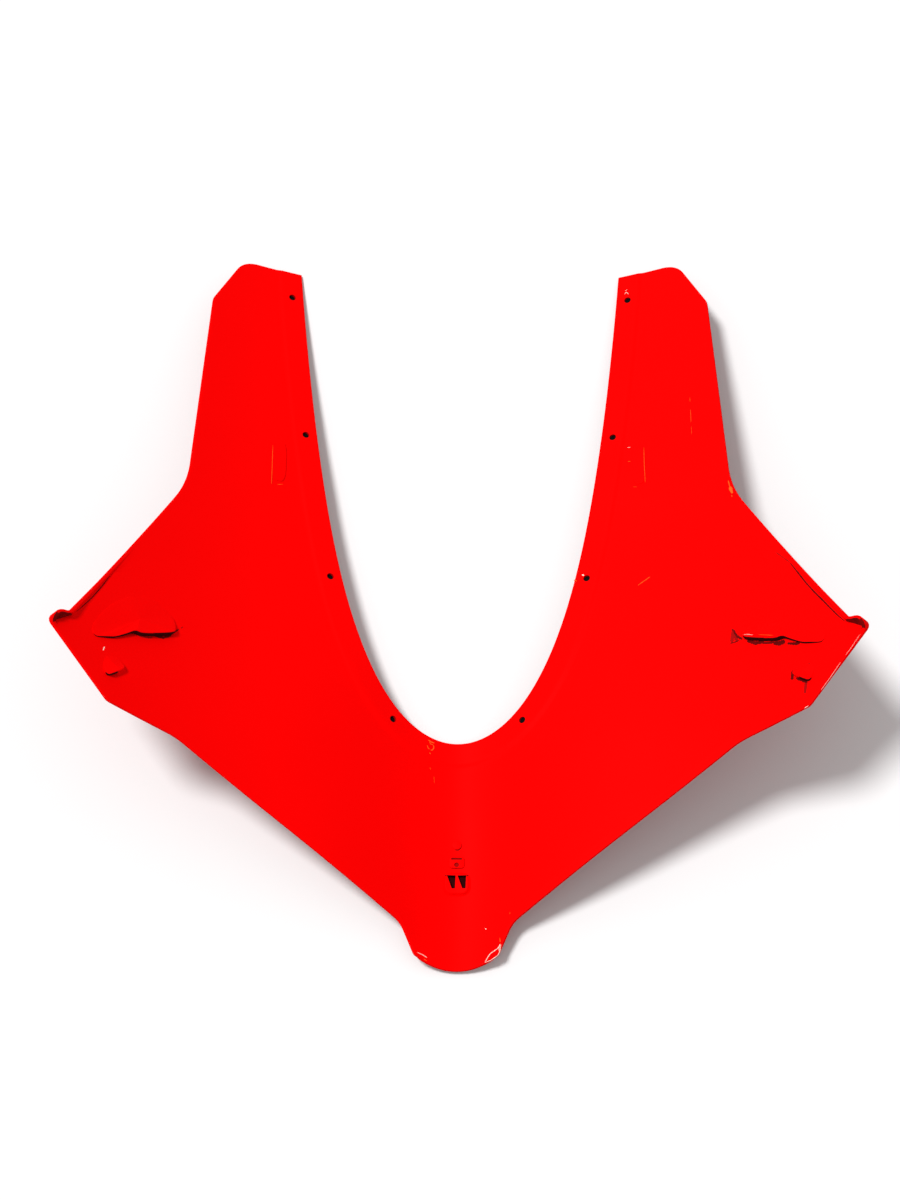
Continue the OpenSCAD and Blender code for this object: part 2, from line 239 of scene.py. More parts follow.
def shell_mesh():
    """Points and faces of the shell. Each ring goes along the outer face from the
    cut to the outline and back along the inner face, at distances from the cut or
    the outline, with every edge rounded by a quarter circle. Beside the arm top
    the rings lie along its edge, and turn square to the outline over TURN_RUN."""
    line = outline()
    edge, count = line[:, :2], line[:, 2]
    share = np.interp(count, np.arange(len(CORNERS)), CORNERS[:, 3])
    share[0] = 1
    zero = np.zeros(len(share))
    run = np.concatenate([[0], np.cumsum(np.linalg.norm(np.diff(edge, axis=0), axis=1))])
    before = np.vstack([edge[:1], edge[:-1]])
    after = np.vstack([edge[1:], edge[-2:-1] * [-1, 1]])
    along = unit(after - before)
    square = np.stack([along[:, 1], -along[:, 0]], axis=-1)
    across = unit(cut_edge(share) - edge)
    turn = ease(0, TURN_RUN, run)[:, None]
    turn[-1] = 0
    inward = unit(across * (1 - turn) + square * turn)
    top_line = unit(edge[0] - cut_edge(1.0))

    def from_cut(distance):
        place = inside_cut(share, np.full(len(share), distance))
        place[0] = cut_edge(1.0) + top_line * distance
        return place

    def from_edge(distance):
        return edge + inward * (zero + distance)[:, None]

    low = LIP_RUN * ease(*LIP_STARTS, edge[:, 0])
    high = (1 - LIP_RUN) * ease(*LIP_IS_FULL, edge[:, 0])
    lip = LIP_HEIGHT * (low + high) * ease(*LIP_ENDS, edge[:, 1])
    r = EDGE_ROUND
    small = np.minimum(r, lip / 2)
    ramp = np.linspace(0, 1, 7)[1:]
    places, heights, ups = [], [], []

    def add(place, height, up=0.0):
        places.append(place)
        heights.append(zero + height)
        ups.append(zero + up)

    flat = [(d, LAND_DEPTH) for d in np.linspace(r, LAND_WIDTH, 6)[1:]]
    slope = [(LAND_WIDTH + LAND_RAMP * k, LAND_DEPTH * (1 - ease(0, 1, k))) for k in ramp]
    field = np.linspace(0, 1, 28)[1:]
    begin = from_cut(LAND_WIDTH + LAND_RAMP)
    top = from_edge(LIP_WALL)
    end = from_edge(LIP_WALL + LIP_DRAFT)
    # The foot of the edge goes straight across the nub of corners 5 and 6
    nub = np.flatnonzero((count >= 4.9) & (count <= 6.1))
    k = np.interp(count[nub], count[nub[[0, -1]]], [0, 1])[:, None]
    end[nub] = end[nub[0]] + (end[nub[-1]] - end[nub[0]]) * k

    for a in QUARTER[::-1]:
        add(from_cut(r - r * np.sin(a)), r - r * np.cos(a), LAND_DEPTH)
    for d, up in flat + slope:
        add(from_cut(d), 0, up)
    for c in field:
        add(begin + (end - begin) * c, 0)
    for a in QUARTER:
        add(from_edge(r - r * np.sin(a)), r - r * np.cos(a))
    for a in QUARTER[::-1]:
        add(from_edge(r - r * np.sin(a)), WALL + lip - r + r * np.cos(a))
    for a in QUARTER:
        add(top - inward * (small * (1 - np.sin(a)))[:, None], WALL + lip - small * (1 - np.cos(a)))
    for down, left in LIP_COVE:
        add(top + (end - top) * down, WALL + lip * left)
    for c in field[::-1]:
        add(begin + (end - begin) * c, WALL)
    for d, up in (flat + slope)[::-1]:
        add(from_cut(d), WALL, up)
    for a in QUARTER:
        add(from_cut(r - r * np.sin(a)), WALL - r + r * np.cos(a), LAND_DEPTH)

    rings = lifted(np.stack(places, 1), np.stack(heights, 1), np.stack(ups, 1))
    rings = np.concatenate([rings, (rings * [-1, 1, 1])[-2::-1]])
    count_rings, n = rings.shape[:2]
    index = np.arange(count_rings * n).reshape(count_rings, n)
    a, b = index[:-1], index[1:]
    quads = np.stack([a, b, np.roll(b, -1, 1), np.roll(a, -1, 1)], -1).reshape(-1, 4)
    caps = [index[0].tolist(), index[-1][::-1].tolist()]
    return rings.reshape(-1, 3), quads.tolist() + caps


def solid(name, points, faces):
    """A closed mesh object from points in the drawing's millimetres. The drawing's
    middle is moved to the origin, and faces are turned to point outwards."""
    mesh = bpy.data.meshes.new(name)
    mesh.from_pydata((points - [0, MIDDLE_Y, 0]) * MM, [], faces)
    piece = bpy.data.objects.new(name, mesh)
    bpy.context.scene.collection.objects.link(piece)
    mesh.update()
    mesh.calc_loop_triangles()
    corner = np.empty(len(mesh.loop_triangles) * 3, np.int32)
    mesh.loop_triangles.foreach_get("vertices", corner)
    p = (points * MM)[corner].reshape(-1, 3, 3)
    if np.einsum("ij,ij->i", p[:, 0], np.cross(p[:, 1], p[:, 2])).sum() < 0:
        mesh.flip_normals()
    return piece


panel = solid("fairing_panel_moulded", *shell_mesh())

# The wing plateaus, lugs and pads
# They are part of the same moulding: low plateaus that end in a stepped ledge,
# with a small lug under each, and a flat pad on each arm where a foam strip sat.
PLATEAU_HEIGHT = 6.0
LUG_HEIGHT = 5.0
PAD_LENGTH = 40.0
PAD_WIDTH = 11.5
PAD_HEIGHT = 0.8
SINK = 1.2
# Corners measured from the wing tip, with the share of the full height at each
PLATEAU = np.array([
    [-96, 29, 0.1], [-97.5, 20, 0.5], [-96, 13, 1], [-92.5, 11, 1],
    [-81, 7.5, 1], [-69, 4.8, 1], [-64, 6.6, 0.9], [-57, 2, 0.7],
    [-49, -2.5, 0.5], [-42, -3.8, 0.4], [-34.5, -5, 0.15], [-31, 3, 0],
    [-37, 17, 0], [-48, 32, 0], [-61, 42, 0], [-80, 43, 0],
])
LUG = np.array([
    [-58, -26, 0.5], [-57.5, -31, 1], [-47, -38.5, 1], [-44.5, -37, 0.4],
    [-42, -29, 0], [-44, -20, 0], [-52, -19, 0.1],
])
PLATEAU_MIDDLE = (-68, 20, 0.4)
LUG_MIDDLE = (-50, -28, 0.5)
PAD_IN = 14.5
PAD_UP = 36.0


def softened(corners, rounds=2):
    """A closed line with its corners cut at a fifth of each side, twice over, and
    then divided into steps of about a millimetre."""
    line = np.asarray(corners, float)
    for _ in range(rounds):
        ahead = np.roll(line, -1, 0)
        line = np.stack([line * 0.8 + ahead * 0.2, line * 0.2 + ahead * 0.8], 1)
        line = line.reshape(-1, line.shape[-1])
    ahead = np.roll(line, -1, 0)
    parts = np.maximum(1, np.round(np.linalg.norm(ahead - line, axis=1)).astype(int))
    start = np.repeat(line, parts, 0)
    step = np.repeat((ahead - line) / parts[:, None], parts, 0)
    number = np.arange(parts.sum()) - np.repeat(np.cumsum(parts) - parts, parts)
    return start + step * number[:, None]


def stacked(rings, bottom, top):
    """A closed form from rings of equal length, with a fan to a point at each end."""
    count, n = rings.shape[:2]
    index = np.arange(count * n).reshape(count, n)
    a, b = index[:-1], index[1:]
    quads = np.stack([a, np.roll(a, -1, 1), np.roll(b, -1, 1), b], -1).reshape(-1, 4)
    ahead = np.roll(index, -1, 1)
    low = np.stack([ahead[0], index[0], np.full(n, count * n)], -1)
    high = np.stack([index[-1], ahead[-1], np.full(n, count * n + 1)], -1)
    points = np.vstack([rings.reshape(-1, 3), bottom, top])
    return points, quads.tolist() + low.tolist() + high.tolist()


def raised(corners, centre, height, edge_round=0.9, lean=0.0):
    """A raised shape on the inner face. Its side wall leans in by that much, its
    top edge is a quarter circle, and its top runs from the height at each corner
    to the height at the centre."""
    line = softened(corners)
    centre = np.asarray(centre, float)
    reach = np.linalg.norm(line[:, :2] - centre[:2], axis=1)[:, None]
    tall = np.maximum(0.15, height * line[:, 2])
    r = np.minimum(edge_round, tall / 2)

    def ring(inset, above):
        return lifted(line[:, :2] + (centre[:2] - line[:, :2]) / reach * inset[:, None], WALL + above)

    rings = [lifted(line[:, :2], np.full(len(line), WALL - SINK)), ring(r * 0, r * 0)]
    for a in QUARTER:
        rings.append(ring(lean + r - r * np.cos(a), tall - r + r * np.sin(a)))
    for k in np.linspace(0, 1, 12)[1:-1]:
        inset = lean + r + (reach[:, 0] - lean - r) * k
        rings.append(ring(inset, tall + (height * centre[2] - tall) * k))
    bottom = lifted(centre[:2], WALL - SINK)
    top = lifted(centre[:2], WALL + height * centre[2])
    return stacked(np.stack(rings), bottom, top)


def mirrored(shape):
    """The same points and faces on the other side of the middle plane."""
    points, faces = shape
    return points * [-1, 1, 1], faces


def at_wing(corners):
    """Corners given from the wing tip, moved there."""
    return np.asarray(corners, float) + [TIP_X, TIP_Y, 0]


pad_middle = np.array([CUT_X + PAD_IN, WAIST_Y + PAD_UP, 1])
pad_corners = pad_middle + np.array([[1, 1, 0], [-1, 1, 0], [-1, -1, 0], [1, -1, 0]]) * [
    PAD_WIDTH / 2, PAD_LENGTH / 2, 0,
]
additions = []
for shape in (
    raised(at_wing(PLATEAU), at_wing(PLATEAU_MIDDLE), PLATEAU_HEIGHT),
    raised(at_wing(LUG), at_wing(LUG_MIDDLE), LUG_HEIGHT),
    raised(pad_corners, pad_middle, PAD_HEIGHT, 0.3),
):
    additions += [solid("raised_right", *shape), solid("raised_left", *mirrored(shape))]

# The nose bosses
# On the ridge inside the nose stand a clip boss with sloping sides, two wedge-
# shaped pockets and a thin rib between them, a locating pad with a slot and a
# dimple, and a round stop. They are moulded with the shell.
CLIP_Y = CUT_Y - 125.8
CLIP_WIDTH = 20.0
CLIP_LENGTH = 15.0
CLIP_HEIGHT = 3.0
CLIP_SLOPE = 3.0
CLIP_RIB = 1.6
CLIP_WALL = 1.8
CLIP_FLOOR = 2.0
POCKET_LENGTH = 11.5
POCKET_UP = 1.5
POCKET_WIDTH = (CLIP_WIDTH - CLIP_RIB) / 2 - CLIP_WALL
LOCATOR_Y = CUT_Y - 106.5
LOCATOR_WIDTH = 13.0
LOCATOR_LENGTH = 10.0
LOCATOR_HEIGHT = 2.0
LOCATOR_FLOOR = 0.8
DIMPLE = 4.0
DIMPLE_Y = LOCATOR_Y - 2.3
SLOT_WIDTH = 9.0
SLOT_LENGTH = 1.8
SLOT_Y = LOCATOR_Y + 3
STOP = 8.0
STOP_HEIGHT = 1.8
STOP_Y = CUT_Y - 91


def upright(line, middle, low, high, edge_round=0.0):
    """A straight-sided form standing on z = low, with a rounded top edge."""
    line = np.asarray(line, float)
    middle = np.asarray(middle, float)
    reach = np.linalg.norm(line, axis=1)[:, None]

    def ring(inset, z):
        place = line * (1 - inset / reach) + middle
        return np.column_stack([place, np.full(len(line), z)])

    rings = [ring(0, low)]
    for a in np.radians([0, 30, 60, 90]) if edge_round else [0.0]:
        rings.append(ring(edge_round * (1 - np.cos(a)), high - edge_round * (1 - np.sin(a))))
    return stacked(np.stack(rings), [*middle, low], [*middle, high])


def rounded_box(width, length, radius):
    """The line round a rectangle with its corners rounded."""
    turn = np.radians(np.arange(0, 91, 10))
    corners = []
    for i, (sx, sy) in enumerate([(1, 1), (-1, 1), (-1, -1), (1, -1)]):
        a = turn + i * np.pi / 2
        middle = [sx * (width / 2 - radius), sy * (length / 2 - radius)]
        corners.append(np.column_stack([np.cos(a), np.sin(a)]) * radius + middle)
    return np.vstack(corners)


def circle(diameter, steps=48):
    """Points round a circle."""
    a = np.arange(steps) * 2 * np.pi / steps
    return np.column_stack([np.cos(a), np.sin(a)]) * diameter / 2


floor_z = WALL - SINK
clip_foot = np.array([[1, 1], [-1, 1], [-1, -1], [1, -1]]) * [
    CLIP_WIDTH / 2 + CLIP_SLOPE, CLIP_LENGTH / 2 + CLIP_SLOPE,
]
clip_foot = np.column_stack([clip_foot + [0, CLIP_Y], np.ones(4)])
additions += [
    solid("clip_boss", *raised(clip_foot, [0, CLIP_Y, 1], CLIP_HEIGHT, 0.9, CLIP_SLOPE - 1.2)),
    solid("locator", *upright(
        rounded_box(LOCATOR_WIDTH, LOCATOR_LENGTH, 2.5), [0, LOCATOR_Y], floor_z,
        WALL + LOCATOR_HEIGHT, 0.6)),
    solid("stop", *upright(circle(STOP), [0, STOP_Y], floor_z, WALL + STOP_HEIGHT, 0.4)),
]
pocket = np.array([
    [0, 0], [POCKET_WIDTH, 0],
    [POCKET_WIDTH * 0.92, -POCKET_LENGTH], [POCKET_WIDTH * 0.56, -POCKET_LENGTH],
])
pocket_y = CLIP_Y + POCKET_UP
locator_cut = (WALL + LOCATOR_FLOOR, WALL + 2 * LOCATOR_HEIGHT)
cuts = [
    solid("dimple", *upright(circle(DIMPLE), [0, DIMPLE_Y], *locator_cut)),
    solid("slot", *upright(rounded_box(SLOT_WIDTH, SLOT_LENGTH, 0.4), [0, SLOT_Y], *locator_cut)),
]
for x in (-POCKET_WIDTH - CLIP_RIB / 2, CLIP_RIB / 2):
    centre = pocket.mean(0)
    cuts.append(solid("pocket", *upright(
        pocket - centre, centre + [x, pocket_y + POCKET_LENGTH / 2],
        CLIP_FLOOR, WALL + 3 * CLIP_HEIGHT)))

# The screw holes
# Eight plain holes for the screen screws are drilled square to the face, at an
# even distance from the edge of the cut, four on each side.
SCREW_BORE = 6.0
SCREW_INSET = 10.5
SCREW_PLACES = np.array([0.972, 0.792, 0.566, 0.22])
HOLE_REACH = 6.0

for place in inside_cut(SCREW_PLACES, np.full(4, SCREW_INSET)):
    axis = normal(place)
    side = unit(np.cross([0, 1, 0], axis))
    ring = circle(SCREW_BORE, 64) @ np.array([side, np.cross(axis, side)])
    middle = lifted(place, 0.0)
    ends = [middle - axis * HOLE_REACH, middle + axis * HOLE_REACH * 2]
    hole = stacked(np.stack([ring + e for e in ends]), *ends)
    cuts += [solid("hole_right", *hole), solid("hole_left", *mirrored(hole))]


def combine(target, tool, operation):
    """Joins or cuts the tool into the target and throws the tool away."""
    change = target.modifiers.new(operation.lower(), "BOOLEAN")
    change.operation = operation
    change.solver = "MANIFOLD"
    change.object = tool
    bpy.context.view_layer.objects.active = target
    bpy.ops.object.modifier_apply(modifier=change.name)
    bpy.data.meshes.remove(tool.data)


for piece in additions:
    combine(panel, piece, "UNION")
for piece in cuts:
    combine(panel, piece, "DIFFERENCE")
CREASE = np.radians(38)
panel.data.shade_smooth()
panel.data.set_sharp_from_angle(angle=CREASE)

# The finish
# The ABS is sprayed red on both faces: a glossy lacquer outside and a dry, dull
# overspray inside. Painted shade, nearly black, sits on the ledge walls and in the
# pockets, and a thinner, deep red painted shade in the locating pad and the wing tips.


def linear(hex_colour):
    """An sRGB hex colour as the linear red, green, blue and alpha that shaders use."""
    c = np.array([int(hex_colour[i:i + 2], 16) for i in (1, 3, 5)]) / 255
    c = np.where(c <= 0.04045, c / 12.92, ((c + 0.055) / 1.055) ** 2.4)
    return (*c.tolist(), 1.0)


def node(tree, kind, settings=None, links=None):
    """Adds a node. Settings are its properties or, by name or number, its inputs,
    and links join its inputs to other nodes' outputs."""
    made = tree.nodes.new(kind)
    for key, value in (settings or {}).items():
        if isinstance(key, str) and hasattr(made, key):
            setattr(made, key, value)
        else:
            made.inputs[key].default_value = value
    for key, source in (links or {}).items():
        tree.links.new(source, made.inputs[key])
    return made


def new_material(name):
    """An empty node material."""
    material = bpy.data.materials.new(name)
    material.use_nodes = True
    material.node_tree.nodes.clear()
    return material


def sprayed_red(name, light, dark, shade_reach, roughness, level, peel_depth):
    """Red two-pack paint on moulded ABS: saturated and even, with slow clouds a
    hand wide and an orange peel of about 2 mm. Painted shade from ambient
    occlusion darkens what lies enclosed."""
    material = new_material(name)
    tree = material.node_tree
    place = node(tree, "ShaderNodeTexCoord").outputs["Object"]
    cloud = node(tree, "ShaderNodeTexNoise", {"Scale": 12.0, "Detail": 3.0}, {"Vector": place})
    peel = node(tree, "ShaderNodeTexNoise", {"Scale": 420.0, "Detail": 2.0}, {"Vector": place})
    # Painted shade: where ambient occlusion finds faces close by, the red is mixed toward near-black
    # #200202
    corner = node(
        tree, "ShaderNodeAmbientOcclusion",
        {"samples": 16, "only_local": True, "Distance": shade_reach})
    corner_shade = node(tree, "ShaderNodeMapRange", {
        "interpolation_type": "SMOOTHSTEP",
        "From Min": 0.28, "From Max": 0.56, "To Min": 1.0, "To Max": 0.0,
    }, {"Value": corner.outputs["AO"]})
    paint = node(
        tree, "ShaderNodeMix", {"data_type": "RGBA", 6: linear(light), 7: linear(dark)},
        {0: cloud.outputs["Fac"]},
    )
    colour = node(
        tree, "ShaderNodeMix", {"data_type": "RGBA", 7: linear("#200202")},
        {0: corner_shade.outputs["Result"], 6: paint.outputs[2]},
    )
    rough = node(
        tree, "ShaderNodeMapRange", {"To Min": roughness - 0.05, "To Max": roughness + 0.05},
        {"Value": cloud.outputs["Fac"]},
    )
    bump = node(
        tree, "ShaderNodeBump", {"Strength": 0.15, "Distance": peel_depth},
        {"Height": peel.outputs["Fac"]},
    )
    shader = node(tree, "ShaderNodeBsdfPrincipled", {"IOR": 1.5, "Specular IOR Level": level}, {
        "Base Color": colour.outputs[2],
        "Roughness": rough.outputs["Result"],
        "Normal": bump.outputs["Normal"],
    })
    node(tree, "ShaderNodeOutputMaterial", links={"Surface": shader.outputs["BSDF"]})
    return material


def mottled(name, light, dark, scale, detail, bump_share, bump_depth, roughness):
    """A dull finish whose two colours a noise mixes, with a bump that follows it."""
    material = new_material(name)
    tree = material.node_tree
    place = node(tree, "ShaderNodeTexCoord").outputs["Object"]
    noise = node(
        tree, "ShaderNodeTexNoise", {"Scale": scale, "Detail": detail}, {"Vector": place})
    colour = node(
        tree, "ShaderNodeMix", {"data_type": "RGBA", 6: linear(light), 7: linear(dark)},
        {0: noise.outputs["Fac"]},
    )
    bump = node(
        tree, "ShaderNodeBump", {"Strength": bump_share, "Distance": bump_depth},
        {"Height": noise.outputs["Fac"]},
    )
    shader = node(
        tree, "ShaderNodeBsdfPrincipled", {"Roughness": roughness, "Specular IOR Level": 0.1},
        {"Base Color": colour.outputs[2], "Normal": bump.outputs["Normal"]},
    )
    node(tree, "ShaderNodeOutputMaterial", links={"Surface": shader.outputs["BSDF"]})
    return material


def painted_shade(name, thick, thin):
    """Painted shade on red paint: nearly black, dull, thinner in patches
    of a few millimetres where the red shows through as a deep brown."""
    return mottled(name, thick, thin, 160.0, 3.0, 0.4, 0.0003, 0.9)


panel.data.materials.clear()
for material in (
    sprayed_red("dry_red_overspray_inside", "#FF0000", "#FA0000", 0.008, 0.6, 0.02, 0.0002),
    sprayed_red("gloss_red_lacquer_outside", "#CC0202", "#C20202", 0.004, 0.2, 0.5, 0.0001),
    # Painted shade in three depths: near black, deep red in the nubs, red-brown in the locating pad
    painted_shade("painted_shade", "#080101", "#420303"),
    painted_shade("painted_shade_in_nubs", "#480000", "#900000"),
    painted_shade("painted_shade_in_locator", "#8A0303", "#C00404"),
):
    panel.data.materials.append(material)
INSIDE, OUTSIDE, DARK_SHADE, NUB_SHADE, LOCATOR_SHADE = range(5)
# Boxes in plan round the places given painted shade: lowest and highest x, lowest and highest y.
# Those of the ledges, the lug walls and the nubs are measured from the wing tip
LEDGE_BOX = (-104, -33, -9, 24)
LUG_BOX = (-56, -41, -41, -22)
NUB_BOX = (-18, np.inf, -1.5, 22)
LOCATOR_BOX = (-4.7, 4.7, LOCATOR_Y - 4.5, LOCATOR_Y + 4.1)
POCKET_SIDE = POCKET_WIDTH + CLIP_RIB
POCKET_END = POCKET_LENGTH / 2 + 0.25
POCKET_BOX = (-POCKET_SIDE, POCKET_SIDE, pocket_y - POCKET_END, pocket_y + POCKET_END)

count = len(panel.data.polygons)
middles = np.empty(count * 3, np.float32)
facing = np.empty(count * 3, np.float32)
panel.data.polygons.foreach_get("center", middles)
panel.data.polygons.foreach_get("normal", facing)
middles = middles.reshape(-1, 3) / MM + [0, MIDDLE_Y, 0]
facing = facing.reshape(-1, 3)
out_x = np.abs(middles[:, 0]) - TIP_X
out_y = middles[:, 1] - TIP_Y
outward = -(facing * normal(middles)).sum(1)


def inside(box, x, y):
    """True for the faces whose middles lie in that box in plan."""
    return (x > box[0]) & (x < box[1]) & (y > box[2]) & (y < box[3])


# Painted shade lies on walls that face the nose, in what is sunk below the tops of the
# bosses, and on the rounded inner side of the turned edge at the tips
finish = np.where(outward > 0.5, OUTSIDE, INSIDE)
ledge = inside(LEDGE_BOX, out_x, out_y) & (facing[:, 1] < -0.45)
lug_wall = inside(LUG_BOX, out_x, out_y) & (facing[:, 1] < -0.35)
pockets = inside(POCKET_BOX, middles[:, 0], middles[:, 1]) & (middles[:, 2] < WALL + CLIP_HEIGHT - 0.1)
shaded_faces = (ledge | lug_wall | pockets) & (finish == INSIDE)
high = (middles[:, 2] - rise(middles[:, 0], middles[:, 1])) * normal(middles)[:, 2]
inward = -facing[:, 0] * np.sign(middles[:, 0])
nubs = inside(NUB_BOX, out_x, out_y) & (high > WALL + 0.25)
nubs &= (outward > -0.93) & (outward < 0.5) & (inward + 0.6 * -facing[:, 1] > 0.35)
locator = inside(LOCATOR_BOX, middles[:, 0], middles[:, 1])
locator &= middles[:, 2] < WALL + LOCATOR_HEIGHT - 0.1
screws = inside_cut(SCREW_PLACES, np.full(4, SCREW_INSET))
spot = np.column_stack([np.abs(middles[:, 0]), middles[:, 1]])
bores = np.linalg.norm(spot[:, None] - screws, axis=2).min(1) < SCREW_BORE * 0.9
finish[bores & (outward > -0.5)] = OUTSIDE
finish[nubs & (finish == INSIDE)] = NUB_SHADE
finish[locator & (finish == INSIDE)] = LOCATOR_SHADE
finish[shaded_faces] = DARK_SHADE
panel.data.polygons.foreach_set("material_index", finish.astype(np.int32))
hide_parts("fairing_panel")
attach(panel, "root")

# The black discs in the screw holes
# Each screw hole is closed at the outer face by a thin black disc pressed into it,
# put there as painted shade for the dark seen through the open hole. From inside
# it reads as a black dot at the end of the bore.
SMALL_CREASE = np.radians(50)
# The radius of each ring of the disc, and its height above the outer face
SHADE_DISC_PROFILE = [[2.2, -0.1], [2.8, -0.1], [3.02, 0.1], [3.02, 0.8], [2.8, 1.0], [2.2, 1.0]]
shade_discs = []
for place in screws:
    axis = normal(place)
    side = unit(np.cross([0, 1, 0], axis))
    square = np.array([side, np.cross(axis, side)])
    low = lifted(place, LAND_DEPTH * axis[2])
    rings = np.stack([low + circle(2 * r) @ square + axis * h for r, h in SHADE_DISC_PROFILE])
    shade_disc = stacked(rings, low + axis * SHADE_DISC_PROFILE[0][1], low + axis * SHADE_DISC_PROFILE[-1][1])
    shade_discs += [shade_disc, mirrored(shade_disc)]


def merged(shapes):
    """Several closed forms as one set of points and faces."""
    points, faces, used = [], [], 0
    for p, f in shapes:
        points.append(p)
        faces += [[i + used for i in face] for face in f]
        used += len(p)
    return np.concatenate(points), faces


def finished(piece, material):
    """Gives a small piece its material, and lets it ride on the panel."""
    piece.data.materials.append(material)
    piece.data.shade_smooth()
    piece.data.set_sharp_from_angle(angle=SMALL_CREASE)
    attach(piece, "root")


# Painted shade: very dark, dull, with a fine grain, standing in for the shade seen through the holes
shade_disc_black = mottled("painted_shade_black", "#020202", "#0A0909", 900.0, 2.0, 0.3, 0.0001, 0.85)
finished(solid("screw_hole_shade_discs", *merged(shade_discs)), shade_disc_black)

# The chips and scratches, painted highlights and painted shade
# Where the paint is chipped the pale primer shows, and where it is only worn
# thin it turns orange. Pale and orange lines along the rounded edges of the
# right plateau, the right wing and the arm pads are painted highlights, and the
# dark flakes are painted shade. Each mark is a thin flake on the inner face,
# placed as on the real part and running out to a point at both ends.
FACE = WALL
PROUD = WALL + 0.08
LAND = WALL + LAND_DEPTH
PAD = WALL + PAD_HEIGHT
PLATEAU_TOP = WALL + PLATEAU_HEIGHT
# Each entry is the height of the mark above the outer face, its width and its line
PALE_CHIPS_AND_HIGHLIGHTS = [
    (LAND, 0.5, [[149.6, 352.5], [151.4, 354.8], [153.5, 351.9]]),
    (LAND, 0.35, [[150.2, 356], [152.6, 357.4]]),
    # Painted highlight: a short pale line at the upper corner of the right arm pad
    (FACE, 0.45, [[148.8, 192], [151.6, 191.7]]),
    (LAND, 1.4, [[108.5, 69.5], [110.5, 68]]),
    (FACE, 0.7, [[55.5, -57.5], [57, -58]]),
    (FACE, 0.6, [[-34, -265], [-30, -266.2], [-25.5, -268.5]]),
    (FACE, 0.7, [[39, -258], [36, -261.5], [30, -265], [27.5, -268.5], [25.5, -272.5]]),
    (FACE, 0.6, [[25.5, -272.5], [30.5, -271], [36.5, -267.5], [38.5, -263.5], [39, -258]]),
    (FACE, 0.7, [[38.3, -257.5], [37.4, -261], [37.8, -264.5]]),
    (FACE, 0.8, [[25.6, -242], [26.6, -242.9]]),
    # Painted highlight along the rounded lower edge of the right plateau
    (PLATEAU_TOP, 0.32, [[243.5, -14.7], [247, -15.2], [251.5, -16.7]]),
    # Painted highlight: a short pale line by the outer end of the left lug
    (FACE, 0.9, [[-296.5, -44.5], [-295.5, -40.5]]),
    # Painted highlights: pale lines along the rounded lower edge of the right wing, in this entry and
    # the next
    (FACE, 0.22, [[332.6, -34], [325.3, -44.3], [320.5, -50.4]]),
    (FACE, 0.22, [[316.6, -55.5], [307.6, -68], [300.5, -77]]),
    (FACE, 0.5, [[287, -90], [290.5, -88.5]]),
]
ORANGE_WEAR_AND_HIGHLIGHTS = [
    (FACE, 0.25, [[204, 234.5], [204.1, 229.5]]),
    (FACE, 0.35, [[204.2, 221.5], [204.4, 208.5]]),
    (FACE, 0.25, [[204.5, 204], [204.6, 195.5]]),
    # Painted highlights along the edges of the arm pads, in this entry and the next three
    (PAD, 0.4, [[163.5, 190], [163.5, 171.5], [164, 153.5]]),
    (FACE, 0.25, [[153, 151.5], [156.5, 151]]),
    (PAD, 0.4, [[-165, 188.5], [-165, 168], [-165, 149]]),
    (FACE, 0.4, [[-160, 150], [-155, 151]]),
    # Painted highlight: the faint end of the pale line along the right plateau's lower edge
    (PLATEAU_TOP, 0.35, [[256, -17.5], [261.5, -19], [268, -21]]),
    (FACE, 0.8, [[234, 143], [234.9, 138], [235.6, 134]]),
    (FACE, 2.6, [[235.2, 137], [236.4, 132], [237, 129.6]]),
    (FACE, 0.9, [[236.2, 127.6], [237, 126.6]]),
    # Painted highlight at the inner side of the right arm pad
    (FACE, 0.5, [[149, 177.5], [151.5, 177.5]]),
    (FACE, 0.6, [[155.5, 53], [160, 56], [166, 60]]),
    (LAND, 0.8, [[101.5, 64], [102.5, 65], [104, 63.5]]),
    (LAND, 0.9, [[-27, -74.4], [-24, -75.9], [-21.2, -76.4]]),
    (LAND, 0.7, [[-25.7, -75.7], [-24.8, -77.7], [-22.2, -78.3]]),
    (LAND, 0.9, [[-22.2, -78.2], [-21.8, -80.7], [-23, -83], [-25, -83.2]]),
    (LAND, 0.7, [[-27.7, -79.2], [-27.2, -81.5], [-25.5, -82.7]]),
    (LAND, 0.7, [[-25.7, -85.7], [-24.7, -86.9]]),
    (FACE, 0.3, [[-24.5, -98.5], [-23.8, -100.5]]),
    (FACE, 0.25, [[-21, -106], [-20.5, -112]]),
    (FACE, 0.6, [[-28.5, -270], [-25.5, -271.5]]),
    (FACE, 0.6, [[38, -252], [38.5, -256]]),
    (FACE, 0.45, [[46.5, -230.8], [46.6, -232.2]]),
]
